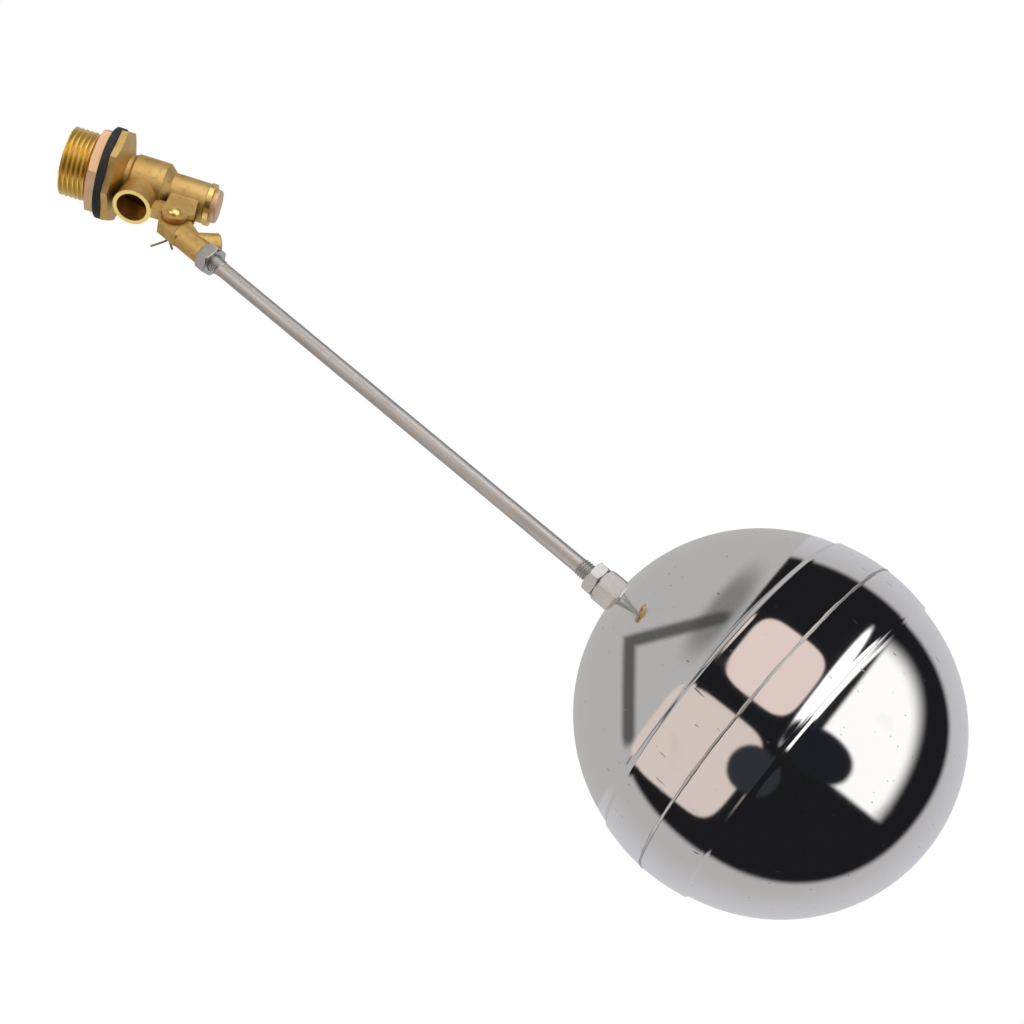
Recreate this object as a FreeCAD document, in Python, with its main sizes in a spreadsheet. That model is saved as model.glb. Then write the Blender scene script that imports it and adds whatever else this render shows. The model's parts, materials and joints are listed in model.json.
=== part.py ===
import FreeCAD, Part
import os

import Sketcher

# Float valve with a stainless ball, in its hanging position: inlet axis along X, Z up.
# The zero point is the middle of the inlet end face. The sheet counts X from the gasket face
# of the flange, and finish() moves each piece of the valve on by the reach of the thread.

DIMENSIONS = {
    # inlet thread, flange and body of the valve
    "thread_major": 33.249, "thread_pitch": 2.309, "thread_depth": 1.479, "thread_reach": 22.4,
    "thread_turns": 6, "thread_seat": 16.1, "inlet_bore": 24.0, "seat_pocket": 19.0, "seat_lip_bore": 16.2,
    "flange_flats": 43.0, "flange_edge": 2.6, "flange_depth": 6.3, "flange_cone": 24.0,
    "neck_radius": 12.2, "barrel_radius": 13.2, "barrel_start": 8.2, "barrel_end": 24.6,
    "chamber_radius": 10.2, "chamber_start": 4.0, "chamber_end": 26.0,
    "guide_radius": 9.9, "guide_start": 28.2, "guide_end": 48.4, "guide_bore": 8.5,
    "bead_radius": 10.4, "bead_length": 3.1, "small_chamfer": 0.5,
    "spout_x": 14.8, "spout_reach": 21.75, "spout_outer": 9.1, "spout_bore": 7.2,
    "web_half": 2.35, "web_end": 28.6,
    # ears and pivot
    "pivot_x": 35.4, "pivot_drop": 23.0, "ear_left": 29.4, "ear_right": 44.3, "ear_round": 6.0,
    "ear_inner": 3.1, "ear_outer": 5.7, "ear_root": 4.0,
    "slot_left": 30.12, "slot_right": 40.62,
    "pin_radius": 2.0, "pin_fit": 0.03, "pin_head_radius": 3.4, "pin_head_height": 1.9, "pin_end": 9.2,
    "cotter_wire": 0.8, "cotter_station": 7.4, "cotter_fit": 0.05,
    # clamping pieces at the inlet
    "lock_nut_flats": 38.6, "lock_nut_depth": 4.8, "gasket_radius": 22.4, "gasket_depth": 4.0,
    "thread_gap": 0.05,
    # seat and piston
    "seat_orifice": 6.5, "seat_nose": 8.0, "seat_face": 5.2,
    "piston_radius": 8.45, "piston_end": 51.4, "piston_travel": 8.95, "washer_depth": 3.0,
    "washer_radius": 7.6, "cap_radius": 8.3, "cap_window": 6.9, "cap_lip": 0.8, "cap_length": 6.0,
    "nose_radius": 7.4, "pocket_half": 2.7, "pocket_top": 1.5,
    # lever
    "rod_angle": 33.7, "swing": 28.0, "tongue_length": 18.5, "tip_radius": 2.4, "tongue_half": 1.5,
    "lever_half": 2.9,
    "hub_radius": 6.0, "rod_offset": 3.5, "socket_radius": 5.8, "socket_start": 9.0, "socket_end": 27.2,
    "socket_bottom": 11.5, "spare_angle": 60.0, "spare_radius": 5.5, "spare_root": 17.5,
    "spare_length": 13.0, "spare_hole": 5.65, "spare_hole_radius": 3.4,
    # rod and its nuts
    "rod_radius": 3.53, "rod_thread_radius": 3.95, "rod_thread_depth": 0.6, "rod_pitch": 1.25,
    "tapped_radius": 4.0, "lever_nut_flats": 13.0, "lever_nut_depth": 6.4,
    "lever_thread_start": 33.2, "lever_thread_turns": 4, "float_thread_start": 262.2,
    "float_thread_turns": 5, "float_nut_start": 268.3,
    "float_nut_flats": 13.0, "float_nut_depth": 5.5, "rod_end": 281.0,
    # float
    "float_centre": 360.2, "band_radius": 75.0, "band_half": 20.0, "dome_radius": 73.5,
    "dome_shift": 3.0, "sheet": 0.6, "seam_gap": 0.4, "seam_half": 1.3, "seam_height": 0.35,
    "boss_start": 273.9, "boss_flats": 14.0, "boss_bore_depth": 9.0, "weld_radius": 10.6,
    "weld_height": 2.2, "skin": 0.02,
}

doc = FreeCAD.newDocument("FloatValve")
sheet = doc.addObject("Spreadsheet::Sheet", "Dimensions")
for row, (alias, value) in enumerate(DIMENSIONS.items(), start=1):
    sheet.set(f"A{row}", alias)
    sheet.set(f"B{row}", str(value))
    sheet.setAlias(f"B{row}", alias)
doc.recompute()

ALONG_X = FreeCAD.Rotation(FreeCAD.Vector(0, 1, 0), 90)
ALONG_Y = FreeCAD.Rotation(FreeCAD.Vector(1, 0, 0), -90)
DOWNWARD = FreeCAD.Rotation(FreeCAD.Vector(1, 0, 0), 180)
NO_TURN = FreeCAD.Rotation()
SECTION_PLANE = FreeCAD.Rotation(FreeCAD.Vector(1, 0, 0), 90)


def link(text):
    """Turn a formula in sheet names into one the expression engine can read."""
    words = []
    word = ""
    for letter in text + " ":
        if letter.isalnum() or letter in "_.":
            word += letter
            continue
        words.append(f"Dimensions.{word}" if word in DIMENSIONS else word)
        words.append(letter)
        word = ""
    return "".join(words).strip()


def bind(item, **formulas):
    """Drive properties of one object from the sheet."""
    for name, formula in formulas.items():
        item.setExpression(name.replace("__", "."), link(formula))
    return item


def place(item, x="0", y="0", z="0", turn=NO_TURN):
    """Put an object at a point given by formulas, with a fixed turn."""
    item.Placement = FreeCAD.Placement(FreeCAD.Vector(0, 0, 0), turn)
    return bind(item, Placement__Base__x=x, Placement__Base__y=y, Placement__Base__z=z)


def rod(name, radius, length, x="0", y="0", z="0", turn=ALONG_X):
    """A plain cylinder."""
    item = doc.addObject("Part::Cylinder", name)
    bind(item, Radius=radius, Height=length)
    return place(item, x, y, z, turn)


def block(name, size, x="0", y="0", z="0", turn=NO_TURN):
    """A rectangular block; size holds three formulas."""
    item = doc.addObject("Part::Box", name)
    bind(item, Length=size[0], Width=size[1], Height=size[2])
    return place(item, x, y, z, turn)


def ball(name, radius, x="0", y="0", z="0"):
    """A full sphere."""
    item = doc.addObject("Part::Sphere", name)
    bind(item, Radius=radius)
    return place(item, x, y, z, ALONG_X)


def prism(name, sides, flats, length, x="0", z="0", spin=0.0):
    """A regular prism along X, given its size across flats; spin turns it about X."""
    item = doc.addObject("Part::Prism", name)
    item.Polygon = sides
    bind(item, Circumradius=f"({flats}) / 2 / cos(180deg / {sides})", Height=length)
    about_x = FreeCAD.Rotation(FreeCAD.Vector(1, 0, 0), spin)
    return place(item, x, "0", z, about_x.multiply(ALONG_X))


def outline(name, points):
    """A closed outline of straight lines in the XZ plane; every corner is two formulas."""
    sketch = doc.addObject("Sketcher::SketchObject", name)
    sketch.Placement = FreeCAD.Placement(FreeCAD.Vector(0, 0, 0), SECTION_PLANE)
    guess = [(value_of(a), value_of(b)) for a, b in points]
    corners = [FreeCAD.Vector(a, b, 0) for a, b in guess]
    count = len(corners)
    for index in range(count):
        sketch.addGeometry(Part.LineSegment(corners[index], corners[(index + 1) % count]), False)
    for index in range(count):
        sketch.addConstraint(Sketcher.Constraint("Coincident", index, 2, (index + 1) % count, 1))
    for index, (across, up) in enumerate(points):
        for kind, formula, value in (("DistanceX", across, guess[index][0]), ("DistanceY", up, guess[index][1])):
            number = sketch.addConstraint(Sketcher.Constraint(kind, index, 1, value))
            sketch.setExpression(f"Constraints[{number}]", link(formula))
    return sketch


def value_of(formula):
    """Number a formula gives with the present sheet values."""
    probe = doc.getObject("Probe") or doc.addObject("App::FeaturePython", "Probe")
    if not hasattr(probe, "Result"):
        probe.addProperty("App::PropertyFloat", "Result")
    return float(probe.evalExpression(link(formula)))


def turned(name, points, x="0", y="0", z="0", turn=NO_TURN):
    """A turned piece: outline corners are (along, radius), spun about the X line."""
    item = doc.addObject("Part::Revolution", name)
    item.Source = outline(name + "Outline", points)
    item.Axis = FreeCAD.Vector(1, 0, 0)
    item.Base = FreeCAD.Vector(0, 0, 0)
    item.Angle = 360
    item.Solid = True
    return place(item, x, y, z, turn)


def plate(name, points, half, middle="0"):
    """A flat piece: outline in XZ, pushed out to both sides of the plane y = middle."""
    item = doc.addObject("Part::Extrusion", name)
    item.Base = outline(name + "Outline", points)
    item.DirMode = "Custom"
    item.Dir = FreeCAD.Vector(0, -1, 0)
    item.Solid = True
    bind(item, LengthFwd=f"({half}) - ({middle})", LengthRev=f"({half}) + ({middle})")
    return item


def join(name, items):
    """Melt several shapes into one."""
    item = doc.addObject("Part::MultiFuse", name)
    item.Shapes = items
    item.Refine = True
    return item


def common(name, items):
    """Keep what all the shapes share."""
    item = doc.addObject("Part::MultiCommon", name)
    item.Shapes = items
    return item


def cut(name, base, tool):
    """Take one shape away from another."""
    item = doc.addObject("Part::Cut", name)
    item.Base = base
    item.Tool = tool
    return item


finished = []
arm_items = []


def finish(item, label):
    """Name a finished piece and remember it for writing out."""
    if item not in arm_items:
        bind(item, Placement__Base__x="thread_reach")
    item.Label = label
    finished.append((item, label))
    return item


def on_arm(item, drop="0"):
    """Carry a piece of the float arm from its own frame (pivot, rod along X) to its rest place.

    drop is the distance between the pivot and the piece's own axis, for a piece drawn on that axis.
    """
    arm_items.append(item)
    item.Placement = FreeCAD.Placement(FreeCAD.Vector(0, 0, 0), FreeCAD.Rotation(FreeCAD.Vector(0, 1, 0), 30))
    bind(item, Placement__Base__x=f"thread_reach + pivot_x - {drop} * sin(rod_angle * 1deg)",
         Placement__Base__z=f"-pivot_drop - {drop} * cos(rod_angle * 1deg)")
    return bind(item, Placement__Rotation__Angle="rod_angle")


def ridge_corners(start, pitch, depth, crest, turns):
    """Corners of a row of thread ridges along X, from the start formula onward."""
    corners = []
    for turn_number in range(turns):
        base = f"{start} + {turn_number} * {pitch}"
        corners += [(f"{base} + 0.06 * {pitch}", f"{crest} - {depth}"), (f"{base} + 0.44 * {pitch}", crest),
                    (f"{base} + 0.62 * {pitch}", crest), (f"{base} + 1.0 * {pitch}", f"{crest} - {depth}")]
    return corners


# ---------------------------------------------------------------- valve body
outside = [("-thread_reach", "inlet_bore / 2"), ("-thread_reach", "thread_major / 2")]
outside += ridge_corners("-thread_reach - 0.44 * thread_pitch", "thread_pitch", "thread_depth",
                         "thread_major / 2", DIMENSIONS["thread_turns"])[2:]
outside += [("-gasket_depth - lock_nut_depth - 0.3", "thread_major / 2 - thread_depth"),
            ("-gasket_depth - lock_nut_depth - 0.3", "thread_seat"), ("0", "thread_seat"), ("0", "neck_radius"),
            ("barrel_start", "neck_radius"),
            ("barrel_start + 1.3", "barrel_radius"), ("barrel_end", "barrel_radius"),
            ("guide_start", "guide_radius"), ("guide_end - bead_length", "guide_radius"),
            ("guide_end - bead_length + small_chamfer", "bead_radius"),
            ("guide_end - 0.2", "bead_radius"), ("guide_end", "bead_radius - 0.2"),
            ("guide_end", "guide_bore + 0.3"), ("guide_end - 0.3", "guide_bore"),
            ("chamber_end", "guide_bore"), ("chamber_end - 1.2", "chamber_radius"),
            ("chamber_start", "chamber_radius"), ("chamber_start", "seat_lip_bore / 2"),
            ("chamber_start - 1", "seat_lip_bore / 2"), ("chamber_start - 1", "seat_pocket / 2"),
            ("-1", "seat_pocket / 2"), ("-2.5", "inlet_bore / 2")]
casting = turned("Casting", outside)

flange_cone = turned("FlangeCone", [("0", "neck_radius - 1"), ("0", "flange_cone"), ("flange_edge", "flange_cone"),
                                    ("flange_depth", "neck_radius"), ("flange_depth", "neck_radius - 1")])
octagon = prism("Octagon", 8, "flange_flats", "flange_depth", spin=36.5)
flange_body = common("FlangeBody", [flange_cone, octagon])

spout_tube = rod("SpoutTube", "spout_outer", "spout_reach", x="spout_x", turn=DOWNWARD)
spout_clear = rod("SpoutClear", "chamber_radius", "chamber_end - chamber_start - 1.2", x="chamber_start")
spout_only = cut("SpoutOnly", spout_tube, spout_clear)
web = block("Web", ("web_end - spout_x", "2 * web_half", "spout_reach - 12"), x="spout_x", y="-web_half",
            z="-spout_reach")

ear_shape = [("ear_left", "-ear_root"), ("ear_left", "-pivot_drop"), ("pivot_x + ear_round", "-pivot_drop"),
             ("ear_right", "-pivot_drop + 2.4"), ("ear_right - 1.4", "-guide_radius - 2"),
             ("ear_right - 1.4", "-ear_root")]
ears = []
for side, sign in (("Near", "-1"), ("Far", "1")):
    ears.append(plate("Ear" + side, ear_shape, "(ear_outer - ear_inner) / 2",
                      f"{sign} * (ear_outer + ear_inner) / 2"))
    ears.append(rod(f"EarRound{side}", "ear_round", "ear_outer - ear_inner", x="pivot_x",
                    y=f"{sign} * (ear_outer + ear_inner) / 2 - (ear_outer - ear_inner) / 2",
                    z="-pivot_drop", turn=ALONG_Y))
guide_clear = rod("GuideClear", "guide_bore", "guide_end - chamber_end", x="chamber_end")
ear_pair = cut("EarPair", join("EarBlanks", ears), guide_clear)

body_blank = join("BodyBlank", [casting, flange_body, spout_only, web, ear_pair])
spout_hole = rod("SpoutHole", "spout_bore", "spout_reach + 1", x="spout_x", turn=DOWNWARD)
tongue_slot = block("TongueSlot", ("slot_right - slot_left", "2 * ear_inner", "12 - ear_root"),
                    x="slot_left", y="-ear_inner", z="-12")
pin_hole = rod("PinHole", "pin_radius + pin_fit", "2 * ear_outer + 2", x="pivot_x", y="-ear_outer - 1",
               z="-pivot_drop", turn=ALONG_Y)
body_holes = join("BodyHoles", [spout_hole, tongue_slot, pin_hole])
finish(cut("ValveBody", body_blank, body_holes), "valve_body")

# ---------------------------------------------------------------- inlet pieces
nut_blank = prism("LockNutBlank", 6, "lock_nut_flats", "lock_nut_depth", x="-gasket_depth - lock_nut_depth",
                  spin=30)
nut_round = turned("LockNutRound", [
    ("-gasket_depth - lock_nut_depth", "thread_seat + thread_gap"),
    ("-gasket_depth - lock_nut_depth", "lock_nut_flats / 2 + 0.3"),
    ("-gasket_depth - lock_nut_depth + 1.1", "lock_nut_flats / 2 + 3.2"),
    ("-gasket_depth", "lock_nut_flats / 2 + 3.2"), ("-gasket_depth", "thread_seat + thread_gap")])
finish(common("LockNut", [nut_blank, nut_round]), "lock_nut")

finish(turned("Gasket", [
    ("-gasket_depth + 0.02", "thread_seat + thread_gap"), ("-gasket_depth + 0.02", "gasket_radius - 0.3"),
    ("-gasket_depth + 0.32", "gasket_radius"), ("-0.32", "gasket_radius"), ("-0.02", "gasket_radius - 0.3"),
    ("-0.02", "thread_seat + thread_gap")]), "inlet_gasket")

finish(turned("SeatRing", [
    ("-0.9", "seat_orifice"), ("-0.9", "seat_pocket / 2 - 0.01"), ("chamber_start - 1.02", "seat_pocket / 2 - 0.01"),
    ("chamber_start - 1.02", "seat_nose"), ("seat_face - 0.5", "seat_nose"), ("seat_face", "seat_orifice + 0.9"),
    ("seat_face", "seat_orifice + 0.4"), ("seat_face - 0.4", "seat_orifice")]), "seat_ring")

# ---------------------------------------------------------------- piston
washer_face = "seat_face + piston_travel + 0.05"
washer_back = f"({washer_face} + washer_depth)"
piston_turned = turned("PistonTurned", [
    (f"{washer_back} + 0.02", "0"), (f"{washer_back} + 0.02", "nose_radius"),
    (f"{washer_face} + cap_length", "nose_radius"), (f"{washer_face} + cap_length", "piston_radius"),
    ("piston_end - 3.6", "piston_radius"), ("piston_end - 3.2", "piston_radius - 0.25"),
    ("piston_end - 0.7", "piston_radius - 0.25"), ("piston_end", "piston_radius - 0.9"),
    ("piston_end", "0")])
pocket_middle = "pivot_x + tongue_length * sin(swing / 2 * 1deg)"
piston_pocket = block("PistonPocket", ("2 * pocket_half", "2 * ear_inner", "12"),
                      x=f"{pocket_middle} - pocket_half", y="-ear_inner", z="-12 - pocket_top")
finish(cut("Piston", piston_turned, piston_pocket), "piston")

finish(turned("SeatWasher", [
    (washer_face, "0"), (washer_face, "cap_window - 0.05"), (f"{washer_face} + cap_lip + 0.02", "cap_window - 0.05"),
    (f"{washer_face} + cap_lip + 0.02", "washer_radius - 0.25"), (washer_back, "washer_radius - 0.25"),
    (washer_back, "0")]), "seat_washer")

finish(turned("WasherCap", [
    (f"{washer_face} + 0.1", "cap_window"), (f"{washer_face} + 0.1", "cap_radius - 0.5"),
    (f"{washer_face} + 0.6", "cap_radius"), (f"{washer_face} + cap_length - 0.02", "cap_radius"),
    (f"{washer_face} + cap_length - 0.02", "nose_radius + 0.02"),
    (f"{washer_face} + cap_lip", "nose_radius + 0.02"), (f"{washer_face} + cap_lip", "cap_window")]), "washer_cap")

# ---------------------------------------------------------------- pivot pin and cotter
pin_shaft = turned("PinShaft", [
    ("-ear_outer - pin_head_height - 0.02", "0"), ("-ear_outer - pin_head_height + 0.10", "pin_head_radius * 0.30"),
    ("-ear_outer - pin_head_height + 0.45", "pin_head_radius * 0.62"),
    ("-ear_outer - pin_head_height + 1.0", "pin_head_radius * 0.88"), ("-ear_outer - 0.4", "pin_head_radius"),
    ("-ear_outer - 0.02", "pin_head_radius"), ("-ear_outer - 0.02", "pin_radius"),
    ("pin_end - 0.4", "pin_radius"), ("pin_end", "pin_radius - 0.4"), ("pin_end", "0")],
    x="pivot_x", z="-pivot_drop", turn=FreeCAD.Rotation(FreeCAD.Vector(0, 0, 1), 90))
cotter_hole = rod("CotterHole", "cotter_wire + cotter_fit", "12", x="pivot_x", y="cotter_station",
                  z="-pivot_drop - 6", turn=NO_TURN)
finish(cut("PivotPin", pin_shaft, cotter_hole), "pivot_pin")


def strand(name, start, stop, radius):
    """A straight bit of wire between two points relative to the pivot's far end."""
    first = FreeCAD.Vector(*start)
    second = FreeCAD.Vector(*stop)
    item = doc.addObject("Part::Cylinder", name)
    item.Height = (second - first).Length
    item.Placement = FreeCAD.Placement(first, FreeCAD.Rotation(FreeCAD.Vector(0, 0, 1), second - first))
    bind(item, Radius=radius)
    bind(item, Placement__Base__x=f"pivot_x + {start[0]}", Placement__Base__y=f"cotter_station + {start[1]}")
    return bind(item, Placement__Base__z=f"-pivot_drop + {start[2]}")


LEG_PATHS = {"LongLeg": [(0.0, 0.0, 2.6), (0.0, 0.0, -2.7), (-3.0, 1.6, -5.8), (-7.4, 4.0, -8.6)],
             "ShortLeg": [(0.0, 0.0, 2.6), (0.0, 0.0, -2.7), (1.4, 0.9, -5.6), (3.2, 2.2, -8.4)]}
wire_bits = []
for leg_name, path in LEG_PATHS.items():
    for step, (start, stop) in enumerate(zip(path, path[1:])):
        wire_bits.append(strand(f"{leg_name}{step}", start, stop, "cotter_wire * 0.72" if step else "cotter_wire"))
        knee = ball(f"{leg_name}Knee{step}", "cotter_wire * 0.72" if step else "cotter_wire",
                    f"pivot_x + {stop[0]}", f"cotter_station + {stop[1]}", f"-pivot_drop + {stop[2]}")
        wire_bits.append(knee)
eye = doc.addObject("Part::Torus", "CotterEye")
bind(eye, Radius1="cotter_wire * 1.6", Radius2="cotter_wire * 0.75")
place(eye, "pivot_x", "cotter_station", "-pivot_drop + 2.6 + cotter_wire * 1.9", ALONG_Y)
finish(join("CotterPin", wire_bits + [eye]), "cotter_pin")

# ---------------------------------------------------------------- lever (arm frame)
bar = plate("LeverBar", [("-5.4", "1.8"), ("-4.8", "-4.6"), ("-0.4", "-rod_offset - socket_radius"),
                         ("12", "-rod_offset - socket_radius"), ("14.5", "2.4"), ("8.5", "4.2"),
                         ("3.0", "hub_radius"), ("-3.4", "hub_radius - 0.8")], "lever_half")
hub = rod("LeverHub", "hub_radius", "2 * lever_half", y="-lever_half", turn=ALONG_Y)
tongue = plate("LeverTongue", [("-tongue_half", "0"), ("tongue_half", "0"),
                               ("tongue_half", "tongue_length"), ("-tongue_half", "tongue_length")], "lever_half")
tip = rod("LeverTip", "tip_radius", "2 * lever_half", y="-lever_half", z="tongue_length", turn=ALONG_Y)
tongue_bar = join("TongueBar", [tongue, tip])
tongue_bar.Placement = FreeCAD.Placement(FreeCAD.Vector(0, 0, 0), FreeCAD.Rotation(FreeCAD.Vector(0, -1, 0), 20))
bind(tongue_bar, Placement__Rotation__Angle="rod_angle - swing / 2")

socket = turned("MainSocket", [
    ("socket_start", "0"), ("socket_start", "socket_radius - 1.2"), ("socket_start + 1.2", "socket_radius"),
    ("socket_end - 0.5", "socket_radius"), ("socket_end", "socket_radius - 0.5"), ("socket_end", "0")],
    z="-rod_offset")
spare = turned("SpareSocket", [
    ("-1", "0"), ("-1", "spare_radius"), ("spare_length - 0.5", "spare_radius"),
    ("spare_length", "spare_radius - 0.5"), ("spare_length", "0")],
    x="spare_root", z="-rod_offset", turn=FreeCAD.Rotation(FreeCAD.Vector(0, -1, 0), 60))
bind(spare, Placement__Rotation__Angle="spare_angle")
lever_blank = join("LeverBlank", [bar, hub, tongue_bar, socket, spare])
main_hole = rod("MainHole", "tapped_radius", "socket_end - socket_bottom + 1", x="socket_bottom", z="-rod_offset")
spare_hole = turned("SpareHole", [
    ("spare_length - spare_hole - 0.4", "0"), ("spare_length - spare_hole - 0.4", "spare_hole_radius - 0.15"),
    ("spare_length - spare_hole", "spare_hole_radius"),
    ("spare_length - 0.8", "spare_hole_radius"), ("spare_length + 0.2", "spare_hole_radius + 1"),
    ("spare_length + 0.2", "0")],
    x="spare_root", z="-rod_offset", turn=FreeCAD.Rotation(FreeCAD.Vector(0, -1, 0), 60))
bind(spare_hole, Placement__Rotation__Angle="spare_angle")
hub_hole = rod("HubHole", "pin_radius + 0.05", "2 * lever_half + 2", y="-lever_half - 1", turn=ALONG_Y)
lever_holes = join("LeverHoles", [main_hole, spare_hole, hub_hole])
finish(on_arm(cut("Lever", lever_blank, lever_holes)), "lever")


# ---------------------------------------------------------------- rod and nuts (arm frame)
def hexagon_nut(name, start, depth, flats, spin):
    """A hexagon nut along the rod with rounded corners on both faces."""
    blank = prism(name + "Blank", 6, flats, depth, x=start, z="-rod_offset", spin=spin)
    corner = f"({flats}) / 2 / cos(30deg)"
    dressed = turned(name + "Round", [
        (start, "tapped_radius + 0.35"), (start, f"({flats}) / 2 - 0.1"), (f"{start} + 0.75", corner),
        (f"{start} + {depth} - 0.75", corner), (f"{start} + {depth}", f"({flats}) / 2 - 0.1"),
        (f"{start} + {depth}", "tapped_radius + 0.35"), (f"{start} + {depth} - 0.35", "tapped_radius"),
        (f"{start} + 0.35", "tapped_radius")], z="-rod_offset")
    return on_arm(common(name, [blank, dressed]))


finish(hexagon_nut("LeverNut", "(socket_end + 0.05)", "lever_nut_depth", "lever_nut_flats", 8), "lever_lock_nut")
finish(hexagon_nut("FloatNut", "float_nut_start", "float_nut_depth", "float_nut_flats", 18), "float_lock_nut")

# The ridges are drawn where they stand free; inside the nuts and sockets the rod is plain at crest size.
rod_corners = [("socket_bottom + 0.3", "0"), ("socket_bottom + 0.3", "rod_thread_radius - 0.6"),
               ("socket_bottom + 0.9", "rod_thread_radius"), ("lever_thread_start", "rod_thread_radius")]
rod_corners += ridge_corners("lever_thread_start", "rod_pitch", "rod_thread_depth", "rod_thread_radius",
                             DIMENSIONS["lever_thread_turns"])
rod_corners += [("lever_thread_start + lever_thread_turns * rod_pitch + 0.5", "rod_radius"),
                ("float_thread_start - 0.5", "rod_radius")]
rod_corners += ridge_corners("float_thread_start", "rod_pitch", "rod_thread_depth", "rod_thread_radius",
                             DIMENSIONS["float_thread_turns"])
rod_corners += [("float_nut_start + 0.5", "rod_thread_radius"), ("rod_end - 0.6", "rod_thread_radius"),
                ("rod_end", "rod_thread_radius - 0.6"), ("rod_end", "0")]
finish(on_arm(turned("FloatRod", rod_corners), "rod_offset"), "float_rod")

# ---------------------------------------------------------------- float (arm frame)
boss_blank = prism("BossBlank", 6, "boss_flats", "float_centre - dome_radius - dome_shift - boss_start + 3",
                   x="boss_start", z="-rod_offset", spin=8)
boss_turned = turned("BossTurned", [
    ("boss_start", "0"), ("boss_start", "boss_flats / 2 - 0.1"), ("boss_start + 0.8", "boss_flats / 2 / cos(30deg)"),
    ("float_centre", "boss_flats / 2 / cos(30deg)"), ("float_centre", "0")], z="-rod_offset")
boss_hole = rod("BossHole", "tapped_radius", "boss_bore_depth", x="boss_start - 1", z="-rod_offset")
dome_skin = ball("DomeSkin", "dome_radius + skin", x="float_centre - dome_shift", z="-rod_offset")
boss_tools = join("BossTools", [boss_hole, dome_skin])
finish(on_arm(cut("FloatBoss", common("BossBody", [boss_blank, boss_turned]), boss_tools)), "float_boss")

weld_foot = "float_centre - dome_shift - dome_radius"
weld_blank = turned("WeldBlank", [
    (f"{weld_foot} - weld_height + 0.6", "boss_flats / 2 / cos(30deg) + skin"),
    (f"{weld_foot} - weld_height + 0.6", "boss_flats / 2 / cos(30deg) + 0.5"),
    (f"{weld_foot} - 0.6", "weld_radius - 0.9"), (f"{weld_foot} + 0.7", "weld_radius"),
    (f"{weld_foot} + 1.6", "weld_radius"),
    (f"{weld_foot} + 1.6", "boss_flats / 2 / cos(30deg) + skin")], z="-rod_offset")
weld_skin = ball("WeldSkin", "dome_radius + skin", x="float_centre - dome_shift", z="-rod_offset")
finish(on_arm(cut("BossWeld", weld_blank, weld_skin)), "boss_weld")


def half_shell(name, sign):
    """One pressed half of the float: a dome that steps up to the middle band."""
    def side_block(tag, near, far):
        low = near if sign > 0 else f"-({far})"
        return block(f"{name}{tag}", (f"({far}) - ({near})", "4 * band_radius", "4 * band_radius"),
                     x=f"float_centre + {low}", y="-2 * band_radius", z="-rod_offset - 2 * band_radius")

    def layer(tag, inset, step):
        band = common(f"{name}{tag}Band", [
            ball(f"{name}{tag}BandBall", f"band_radius - {inset}", x="float_centre", z="-rod_offset"),
            side_block(f"{tag}BandSide", "seam_gap" if tag == "Outer" else "0", f"band_half - {step}")])
        dome = common(f"{name}{tag}Dome", [
            ball(f"{name}{tag}DomeBall", f"dome_radius - {inset}", x=f"float_centre + {sign} * dome_shift",
                 z="-rod_offset"),
            side_block(f"{tag}DomeSide", f"band_half - {step} - 0.5", "2 * band_radius")])
        return join(f"{name}{tag}", [band, dome])

    return on_arm(cut(name, layer("Outer", "0", "0"), layer("Inner", "sheet", "sheet")))


finish(half_shell("RodSideShell", -1), "float_shell_rod_side")
finish(half_shell("FarSideShell", 1), "float_shell_far_side")

finish(on_arm(turned("SeamWeld", [
    ("float_centre - seam_gap + skin", "band_radius - sheet"),
    ("float_centre - seam_gap + skin", "band_radius + skin"), ("float_centre - seam_half", "band_radius + skin"),
    ("float_centre - seam_half * 0.6", "band_radius + seam_height * 0.8"),
    ("float_centre", "band_radius + seam_height"),
    ("float_centre + seam_half * 0.6", "band_radius + seam_height * 0.8"),
    ("float_centre + seam_half", "band_radius + skin"), ("float_centre + seam_gap - skin", "band_radius + skin"),
    ("float_centre + seam_gap - skin", "band_radius - sheet")]), "rod_offset"), "float_seam_weld")

# ---------------------------------------------------------------- check and write out
doc.recompute()
for item in doc.Objects:
    if "Invalid" in item.State or "Error" in item.State:
        raise RuntimeError(f"{item.Name} did not compute: {item.State}")
os.makedirs("parts", exist_ok=True)
for item, label in finished:
    if item.Shape.isNull() or not item.Shape.isValid():
        raise RuntimeError(f"{label} has no sound shape")
    item.Shape.exportStep(f"parts/{label}.step")
    box = item.Shape.BoundBox
    print(f"{label:24s} solids {len(item.Shape.Solids)} volume {item.Shape.Volume:10.1f} mm3  "
          f"x {box.XMin:7.2f} {box.XMax:7.2f}  y {box.YMin:7.2f} {box.YMax:7.2f}  z {box.ZMin:7.2f} {box.ZMax:7.2f}")
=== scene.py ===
"""Looks of a tank float valve: brass valve with lever, steel rod and polished ball float.

Lengths are in millimetres inside the piece classes, and in metres in the meshes and the studio. The
row frame has the inlet axis along X, Z up, and its zero point in the middle of the inlet end face.
"""
from __future__ import annotations

import json
import logging
import math
from dataclasses import dataclass

import bpy
import numpy as np
from mathutils import Matrix, Vector

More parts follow.
